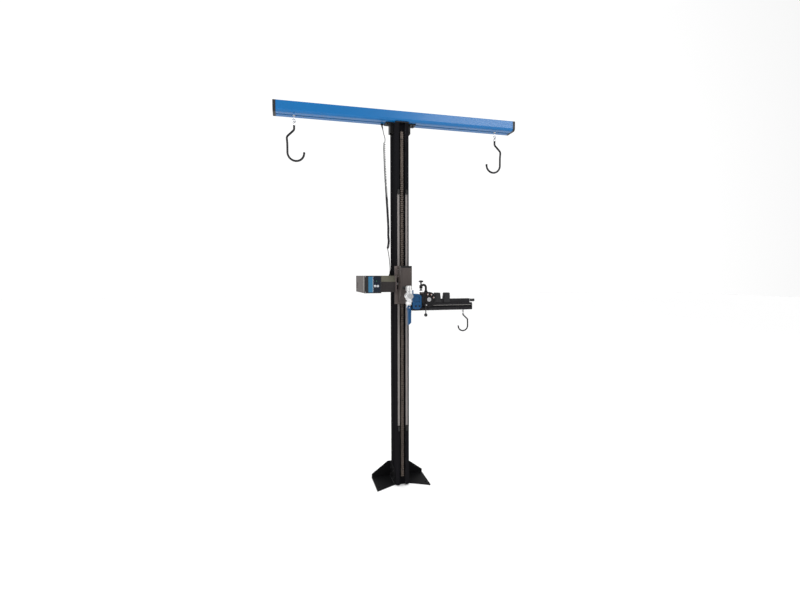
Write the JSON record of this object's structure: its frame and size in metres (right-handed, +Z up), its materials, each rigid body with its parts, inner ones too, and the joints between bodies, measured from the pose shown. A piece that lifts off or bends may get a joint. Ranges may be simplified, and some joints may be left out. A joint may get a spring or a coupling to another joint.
{
  "type": "bike repair stand",
  "caption": "Floor-bolted bicycle repair stand: slotted mast, top bar with hooks, rack-driven carriage with motor housing, curly cord and a tilting beam clamp.",
  "frame": {"origin": "on the floor at the middle of the four anchor holes, on the mast's axis", "axes": "+X along the top bar towards the clamp beam, front of the stand towards -Y, +Z up"},
  "size_m": [1.59, 0.365, 2.445],
  "materials": {
    "blue_paint": "semi-gloss powder coat",
    "light_blue_panel": "satin film",
    "black_anodised": "black satin anodised extrusion",
    "black_paint": "fine texture powder coat",
    "grey_paint": "dark grey satin powder coat",
    "black_plastic": "moulded, fine grain",
    "gloss_black": "gloss panel",
    "rack_steel": "blackened steel, worn on the tooth tips",
    "bright_steel": "bright zinc",
    "cast_alloy": "bead-blasted casting",
    "coated_wire": "black dipped coating with a bright steel eye",
    "black_rubber": "moulded rubber",
    "nylon": "self-lubricating plastic",
    "copper": "copper-coloured washer",
    "board_green": "printed board",
    "lamp_green": "clear tinted lens",
    "button_grey": "moulded cap",
    "cord_rubber": "satin cable jacket"
  },
  "bodies": {
    "mast": {"floor_base": "black_paint", "mast": "black_anodised", "gear_rack": "rack_steel", "mast_fasteners": "black_paint", "travel_stops": "black_rubber", "bar_saddle": "black_paint", "top_bar": "blue_paint", "bar_end_caps": "black_plastic", "bar_eyebolts": "bright_steel", "upper_cord_gland": "black_plastic", "cord_top_lead": "cord_rubber", "cord_coil": "cord_rubber", "cord_low_lead": "cord_rubber"},
    "carriage": {"carriage_frame": "black_paint", "glide_pads": "nylon", "front_cover": "grey_paint", "carriage_screws": "bright_steel", "shaft_bearings": "bright_steel", "limit_switch": "black_plastic", "tilt_stub": "bright_steel", "arm_tube": "grey_paint", "lower_cord_gland": "black_plastic", "housing_shell": "grey_paint", "housing_bezel": "black_plastic", "stripe_panel": "light_blue_panel", "button_panel": "gloss_black", "status_lamp": "lamp_green", "housing_rear_cover": "grey_paint", "rocker_frame": "black_plastic", "gearbox": "cast_alloy", "motor": "black_paint", "control_board": "board_green"},
    "pinion": {"drive_shaft": "bright_steel", "pinion": "rack_steel"},
    "up_button": {"up_button": "button_grey"},
    "down_button": {"down_button": "button_grey"},
    "power_rocker": {"power_rocker": "gloss_black"},
    "clamp": {"tilt_casting": "cast_alloy", "clamp_pins": "bright_steel", "clamp_bracket": "blue_paint", "clamp_screws": "black_paint", "beam": "black_anodised", "beam_end_cap": "black_plastic", "jaw_rail": "black_anodised", "fixed_jaw": "black_plastic", "cradle_head": "black_paint", "cradle_seat": "grey_paint", "head_washers": "copper", "beam_eyebolt": "bright_steel"},
    "cam_lever": {"cam_lever": "blue_paint"},
    "lock_lever": {"lock_lever": "black_plastic"},
    "moving_jaw": {"moving_jaw": "black_plastic"},
    "jaw_screw": {"jaw_screw": "bright_steel", "jaw_knob": "black_plastic"},
    "hold_down_arm": {"hold_down_arm": "black_paint"},
    "hold_down_foot": {"hold_down_foot": "black_rubber"},
    "hold_down_screw": {"hold_down_screw": "black_plastic"},
    "left_hook": {"left_hook": "coated_wire"},
    "right_hook": {"right_hook": "coated_wire"},
    "beam_hook": {"beam_hook": "coated_wire"}
  },
  "joints": [
    {"name": "lift", "type": "slide", "parent": "mast", "child": "carriage", "axis": [0, 0, 1], "range_m": [-0.8, 0.45], "deforming": ["cord_top_lead", "cord_coil", "cord_low_lead"]},
    {"name": "pinion_turn", "type": "hinge", "parent": "carriage", "child": "pinion", "pos_m": [0, -0.09, 1.3465], "axis": [1, 0, 0], "range_deg": [-925, 1640]},
    {"name": "up_press", "type": "slide", "parent": "carriage", "child": "up_button", "axis": [0, 1, 0], "range_m": [0, 0.0025], "stiffness_N_per_m": 400, "springref_m": -0.0015},
    {"name": "down_press", "type": "slide", "parent": "carriage", "child": "down_button", "axis": [0, 1, 0], "range_m": [0, 0.0025], "stiffness_N_per_m": 400, "springref_m": -0.0015},
    {"name": "power_rock", "type": "hinge", "parent": "carriage", "child": "power_rocker", "pos_m": [-0.232, 0.061, 1.348], "axis": [0, 0, 1], "range_deg": [-8, 8]},
    {"name": "clamp_tilt", "type": "hinge", "parent": "carriage", "child": "clamp", "pos_m": [0, -0.221, 1.273], "axis": [0, 1, 0], "range_deg": [-90, 75]},
    {"name": "cam_turn", "type": "hinge", "parent": "clamp", "child": "cam_lever", "pos_m": [0, -0.221, 1.201], "axis": [0, 1, 0], "range_deg": [0, 100]},
    {"name": "lock_turn", "type": "hinge", "parent": "clamp", "child": "lock_lever", "pos_m": [0.099, -0.261, 1.218], "axis": [0, 1, 0], "range_deg": [-60, 60]},
    {"name": "jaw_slide", "type": "slide", "parent": "clamp", "child": "moving_jaw", "axis": [1, 0, 0], "range_m": [-0.005, 0.1]},
    {"name": "jaw_screw_turn", "type": "hinge", "parent": "clamp", "child": "jaw_screw", "pos_m": [0.3, -0.221, 1.242], "axis": [1, 0, 0], "range_deg": [-185, 3605]},
    {"name": "hold_down_swing", "type": "hinge", "parent": "clamp", "child": "hold_down_arm", "pos_m": [0.112, -0.221, 1.305], "axis": [0, 0, 1], "range_deg": [-90, 90]},
    {"name": "hold_down_travel", "type": "slide", "parent": "hold_down_arm", "child": "hold_down_foot", "axis": [0, 0, 1], "range_m": [-0.006, 0.006]},
    {"name": "hold_down_turn", "type": "hinge", "parent": "hold_down_foot", "child": "hold_down_screw", "pos_m": [0.08, -0.221, 1.335], "axis": [0, 0, 1], "range_deg": [-365, 365]},
    {"name": "left_hook_swing", "type": "hinge", "parent": "mast", "child": "left_hook", "pos_m": [-0.67, -0.018, 2.3422], "axis": [0, 1, 0], "range_deg": [-60, 60]},
    {"name": "right_hook_swing", "type": "hinge", "parent": "mast", "child": "right_hook", "pos_m": [0.67, -0.018, 2.3422], "axis": [0, 1, 0], "range_deg": [-60, 60]},
    {"name": "beam_hook_swing", "type": "hinge", "parent": "clamp", "child": "beam_hook", "pos_m": [0.361, -0.221, 1.1727], "axis": [0, 1, 0], "range_deg": [-60, 60]}
  ],
  "couplings": [
    {"joint": "pinion_turn", "follows": "lift", "rad_per_m": -35.714},
    {"joint": "jaw_screw_turn", "follows": "jaw_slide", "rad_per_m": 628.32},
    {"joint": "hold_down_turn", "follows": "hold_down_travel", "rad_per_m": 1047.2}
  ]
}
